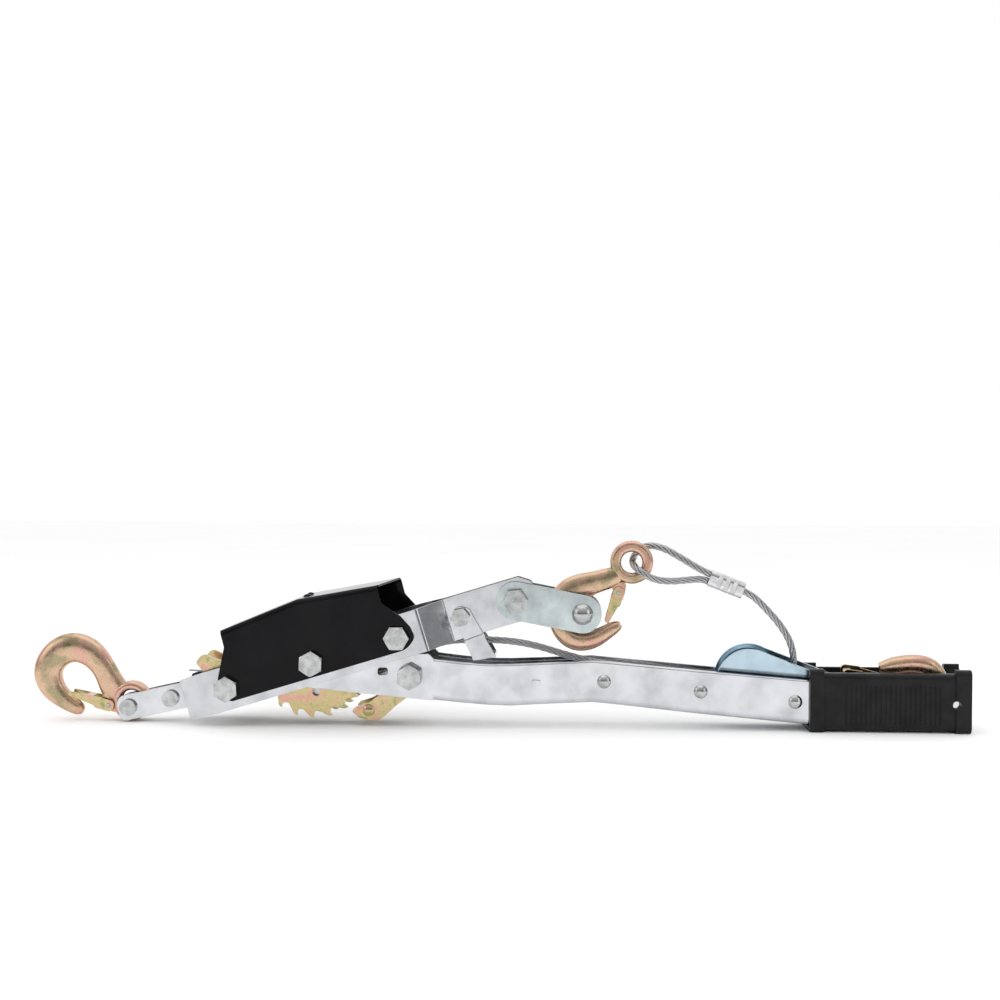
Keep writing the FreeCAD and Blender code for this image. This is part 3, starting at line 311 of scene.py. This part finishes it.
def yellow_zinc(name, forged_mm, gold, pink, rough, drift_mm):
    """Yellow passivated zinc with its drifting gold, pink and olive tones."""
    olive = tuple(c * k for c, k in zip(gold, (0.62, 0.74, 0.66)))
    r = Recipe(name, Metallic=1.0)
    r.round_edges(0.4)
    broad = r.ramp(r.noise(drift_mm, 2.0), [(0.34, olive), (0.44, gold), (0.52, gold), (0.62, pink)])
    speck = r.ramp(r.noise(0.8, 4.0), [(0.35, (0.45, 0.28, 0.14)), (0.6, (1.0, 1.0, 1.0))])
    mixed = r.add("ShaderNodeMix", data_type="RGBA", blend_type="MULTIPLY")
    mixed.inputs["Factor"].default_value = 0.35
    colours = [s for s in mixed.inputs if s.type == "RGBA"]
    r.link(broad, colours[0])
    r.link(speck, colours[1])
    r.link([s for s in mixed.outputs if s.type == "RGBA"][0], r.shader.inputs["Base Color"])
    r.link(r.spread(r.noise(6.0, 5.0), rough * 0.75, rough * 1.5), r.shader.inputs["Roughness"])
    r.bump(r.noise(forged_mm, 5.0), 0.10, 0.35)
    return r.done()


def turned_steel(name, tint, rough):
    """Small zinc plated hardware, slightly hammered on its faces."""
    r = Recipe(name, Metallic=1.0)
    r.round_edges(0.35)
    colour = r.ramp(r.noise(5.0, 4.0), [(0.3, tuple(c * 0.62 for c in tint)), (0.65, tint)])
    r.link(colour, r.shader.inputs["Base Color"])
    r.link(r.spread(r.noise(1.6, 4.0), rough * 0.7, rough * 1.4), r.shader.inputs["Roughness"])
    r.bump(r.noise(1.3, 5.0), 0.08, 0.6)
    return r.done()


def gloss_black(name):
    """Black enamel on sheet, with a faint orange peel and a few dull patches."""
    r = Recipe(name, Specular_IOR_Level=0.12)
    r.round_edges(0.6)
    colour = r.ramp(r.noise(30.0, 3.0), [(0.3, (0.003, 0.003, 0.004)), (0.7, (0.007, 0.007, 0.008))])
    r.link(colour, r.shader.inputs["Base Color"])
    r.link(r.spread(r.noise(25.0, 4.0), 0.05, 0.14), r.shader.inputs["Roughness"])
    r.bump(r.noise(2.2, 2.0), 0.05, 0.4)
    r.bump(r.noise(28.0, 1.0), 0.5, 0.5)
    return r.done()


def grip_plastic(name):
    """Black moulded vinyl with a fine satin grain."""
    r = Recipe(name, Specular_IOR_Level=0.2)
    r.round_edges(0.5)
    colour = r.ramp(r.noise(12.0, 3.0), [(0.3, (0.006, 0.006, 0.007)), (0.7, (0.014, 0.014, 0.015))])
    r.link(colour, r.shader.inputs["Base Color"])
    r.link(r.spread(r.noise(4.0, 4.0), 0.28, 0.42), r.shader.inputs["Roughness"])
    r.bump(r.noise(0.5, 3.0), 0.03, 0.35)
    return r.done()


def wire(name):
    """Drawn wires of a strand: fine lines that run nearly along it, with painted shade in the gaps between wires
    and a painted highlight on each wire's crown.
    """
    r = Recipe(name, Metallic=1.0)
    place = r.add("ShaderNodeUVMap", uv_map="along")
    turn = r.add("ShaderNodeMapping")
    turn.inputs["Scale"].default_value = (0.13, 9.0, 1.0)
    r.link(place.outputs["UV"], turn.inputs["Vector"])
    split = r.add("ShaderNodeSeparateXYZ")
    r.link(turn.outputs["Vector"], split.inputs["Vector"])
    total = r.add("ShaderNodeMath", operation="ADD")
    r.link(split.outputs["X"], total.inputs[0])
    r.link(split.outputs["Y"], total.inputs[1])
    wave = r.add("ShaderNodeMath", operation="PINGPONG")
    wave.inputs[1].default_value = 0.5
    r.link(total.outputs["Value"], wave.inputs[0])
    # colour across each wire: painted shade in the gaps (dark) rising to a painted highlight on the crown (bright)
    stops = [(0.0, (0.13, 0.13, 0.13)), (0.22, (0.46, 0.46, 0.47)), (0.5, (0.80, 0.80, 0.82))]
    colour = r.ramp(wave.outputs["Value"], stops)
    r.link(colour, r.shader.inputs["Base Color"])
    r.link(r.spread(r.noise(3.0, 3.0), 0.22, 0.42), r.shader.inputs["Roughness"])
    r.bump(wave.outputs["Value"], 0.08, 0.5)
    return r.done()


def swaged(name):
    """Soft aluminium, bright where the press has squeezed it."""
    r = Recipe(name, Metallic=1.0)
    r.round_edges(0.6)
    colour = r.ramp(r.noise(4.0, 4.0), [(0.3, (0.60, 0.60, 0.61)), (0.7, (0.84, 0.84, 0.85))])
    r.link(colour, r.shader.inputs["Base Color"])
    r.link(r.spread(r.noise(2.0, 4.0), 0.10, 0.24), r.shader.inputs["Roughness"])
    r.bump(r.noise(2.4, 3.0), 0.03, 0.2)
    return r.done()


FRAME_ZINC = zinc_sheet("frame_zinc", (0.60, 0.61, 0.64), 0.15)
HANDLE_ZINC = zinc_sheet("handle_zinc", (0.64, 0.65, 0.68), 0.12)
LINK_ZINC = zinc_sheet("link_zinc", (0.58, 0.64, 0.65), 0.20)
BLUE_ZINC = zinc_sheet("blue_zinc", (0.46, 0.59, 0.67), 0.16)
HARDWARE = turned_steel("plated_hardware", (0.58, 0.59, 0.59), 0.18)
FORGED = yellow_zinc("forged_yellow_zinc", 1.1, (0.70, 0.50, 0.35), (0.74, 0.45, 0.36), 0.24, 17.0)
PRESSED = yellow_zinc("pressed_yellow_zinc", 2.5, (0.62, 0.53, 0.28), (0.72, 0.42, 0.33), 0.16, 9.0)
ENAMEL = gloss_black("black_enamel")
VINYL = grip_plastic("black_vinyl")
WIRE = wire("rope_wire")
ALUMINIUM = swaged("swaged_aluminium")

finishes = {
    FRAME_ZINC: ("frame_plate_near", "frame_plate_far", "cable_guide"),
    HANDLE_ZINC: ("handle_plate_near", "handle_plate_far", "handle_channel", "link_plate_near", "link_plate_far"),
    LINK_ZINC: ("anchor_link_near", "anchor_link_far"),
    BLUE_ZINC: ("cheek_near", "cheek_far", "sheave", "swivel_block", "sheave_pin"),
    FORGED: ("front_hook", "cable_hook", "block_hook"),
    PRESSED: ("ratchet_near", "ratchet_far", "hold_pawl_near", "hold_pawl_far", "hold_pawl_pin", "drive_pawl_near",
              "drive_pawl_far", "drive_pawl_rivet", "front_latch", "cable_latch", "block_latch", "drum_core"),
    ENAMEL: ("cover", "cover_screws"),
    VINYL: ("grip",),
    ALUMINIUM: ("ferrule",),
}
chosen = {name: material for material, names in finishes.items() for name in names}
for name, node in nodes.items():
    node.data.materials.clear()
    node.data.materials.append(chosen.get(name, HARDWARE))

# ---- the rope's visible pieces ----
run_line = respaced(centreline("run_line", RUN_ROUTE), 0.0016)
loop_line = respaced(centreline("loop_line", LOOP_ROUTE), 0.0014)

rope_run = mesh_object("rope_strands_run", *strand_data(run_line), WIRE)
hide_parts("rope_run")
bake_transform(rope_run)

rope_loop = mesh_object("rope_strands_loop", *strand_data(loop_line), WIRE)
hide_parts("rope_loop")
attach(rope_loop, "anchor_link")


def wound_rope():
    """The top layer of rope on the drum, turn beside turn."""
    low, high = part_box("winding")
    centre = (low + high) / 2
    radius = (high.z - low.z) / 2 - ROPE_D / 2
    wide = high.y - low.y
    turns = int(wide / ROPE_D)
    verts, faces, places = [], [], []
    for k in range(turns):
        y = low.y + wide * (k + 0.5) / turns
        ring = []
        for i in range(110):
            a = 2 * math.pi * i / 110
            ring.append(Vector((centre.x + radius * math.cos(a), y, centre.z + radius * math.sin(a))))
        v, f, p = strand_data(ring, closed=True)
        faces += [tuple(i + len(verts) for i in face) for face in f]
        verts += v
        places += p
    return mesh_object("wound_rope", verts, faces, places, WIRE)


def drum_body(material):
    """The rope's lower layers, closed up between the wheels."""
    low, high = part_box("winding")
    centre = (low + high) / 2
    radius = (high.z - low.z) / 2 - ROPE_D * 0.55
    core = (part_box("drum_core")[1].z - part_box("drum_core")[0].z) / 2
    sides = 72
    profile = [(core, low.y), (radius, low.y), (radius, high.y), (core, high.y)]
    verts, faces = [], []
    for i in range(sides):
        a = 2 * math.pi * i / sides
        verts += [(centre.x + r * math.cos(a), y, centre.z + r * math.sin(a)) for r, y in profile]
    for i in range(sides):
        j = (i + 1) % sides
        for k in range(4):
            m = (k + 1) % 4
            faces.append((i * 4 + k, i * 4 + m, j * 4 + m, j * 4 + k))
    return mesh_object("rope_lower_layers", verts, faces, None, material, smooth=False)


wound = wound_rope()
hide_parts("winding")
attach(wound, "drum")
lower = drum_body(HARDWARE)
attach(lower, "drum")


# ---- floor and light ----
def stage_floor():
    mesh = bpy.data.meshes.new("floor")
    s = 4.0
    mesh.from_pydata([(-s, -s, 0), (s, -s, 0), (s, s, 0), (-s, s, 0)], [], [(0, 1, 2, 3)])
    floor = bpy.data.objects.new("floor", mesh)
    r = Recipe("floor_paper", Roughness=0.9, Specular_IOR_Level=0.05)
    colour = r.ramp(r.noise(300.0, 2.0), [(0.3, (0.97, 0.97, 0.97)), (0.7, (0.99, 0.99, 0.99))])
    r.link(colour, r.shader.inputs["Base Color"])
    r.bump(r.noise(1.5, 2.0), 0.02, 0.1)
    mesh.materials.append(r.done())
    bpy.context.scene.collection.objects.link(floor)


def soft_light(name, place, aim, size, power):
    data = bpy.data.lights.new(name, "AREA")
    data.shape = "RECTANGLE"
    data.size, data.size_y = size
    data.energy = power
    lamp = bpy.data.objects.new(name, data)
    lamp.location = place
    lamp.rotation_euler = (Vector(aim) - Vector(place)).to_track_quat("-Z", "Y").to_euler()
    bpy.context.scene.collection.objects.link(lamp)


def stage_world():
    """White for the camera and for soft light; in reflections, white behind and a darker room in front."""
    world = bpy.data.worlds.new("studio")
    world.use_nodes = True
    tree = world.node_tree

    def add(kind, **values):
        node = tree.nodes.new(kind)
        for key, value in values.items():
            setattr(node, key, value)
        return node

    def graded(source, stops):
        spread = add("ShaderNodeMapRange")
        spread.inputs["From Min"].default_value = -1.0
        ramp = add("ShaderNodeValToRGB")
        while len(ramp.color_ramp.elements) < len(stops):
            ramp.color_ramp.elements.new(0.5)
        for element, (place, grey) in zip(ramp.color_ramp.elements, stops):
            element.position = place
            element.color = (grey, grey, grey, 1.0)
        tree.links.new(source, spread.inputs["Value"])
        tree.links.new(spread.outputs["Result"], ramp.inputs["Fac"])
        return ramp.outputs["Color"]

    split = add("ShaderNodeSeparateXYZ")
    tree.links.new(add("ShaderNodeTexCoord").outputs["Generated"], split.inputs["Vector"])
    height = graded(split.outputs["Z"], [(0.0, 0.08), (0.50, 0.08), (0.57, 0.25), (0.75, 0.55), (1.0, 0.80)])
    behind = graded(split.outputs["Y"], [(0.0, 0.0), (0.50, 0.0), (0.62, 1.0), (1.0, 1.0)])
    room = add("ShaderNodeMix", data_type="RGBA", blend_type="LIGHTEN")
    room.inputs["Factor"].default_value = 1.0
    colours = [socket for socket in room.inputs if socket.type == "RGBA"]
    tree.links.new(height, colours[0])
    tree.links.new(behind, colours[1])
    reflected = tree.nodes["Background"]
    tree.links.new([socket for socket in room.outputs if socket.type == "RGBA"][0], reflected.inputs["Color"])
    seen = add("ShaderNodeBackground")
    seen.inputs["Color"].default_value = (1.0, 1.0, 1.0, 1.0)
    soft = add("ShaderNodeBackground")
    soft.inputs["Color"].default_value = (1.0, 1.0, 1.0, 1.0)
    soft.inputs["Strength"].default_value = 1.0
    path = add("ShaderNodeLightPath")
    glossy = add("ShaderNodeMixShader")
    tree.links.new(path.outputs["Is Glossy Ray"], glossy.inputs["Fac"])
    tree.links.new(soft.outputs["Background"], glossy.inputs[1])
    tree.links.new(reflected.outputs["Background"], glossy.inputs[2])
    mix = add("ShaderNodeMixShader")
    tree.links.new(path.outputs["Is Camera Ray"], mix.inputs["Fac"])
    tree.links.new(glossy.outputs["Shader"], mix.inputs[1])
    tree.links.new(seen.outputs["Background"], mix.inputs[2])
    tree.links.new(mix.outputs["Shader"], tree.nodes["World Output"].inputs["Surface"])
    bpy.context.scene.world = world


stage_floor()
stage_world()
soft_light("top_box", (0.0, -0.1, 1.3), (0, 0, 0), (1.6, 1.3), 3.5)
soft_light("left_box", (-1.5, -0.7, 0.7), (0, 0, 0.05), (0.9, 1.1), 3.0)
soft_light("right_box", (1.5, -0.9, 0.6), (0.1, 0, 0.05), (0.6, 1.0), 2.0)
bpy.context.scene.view_settings.view_transform = "Standard"
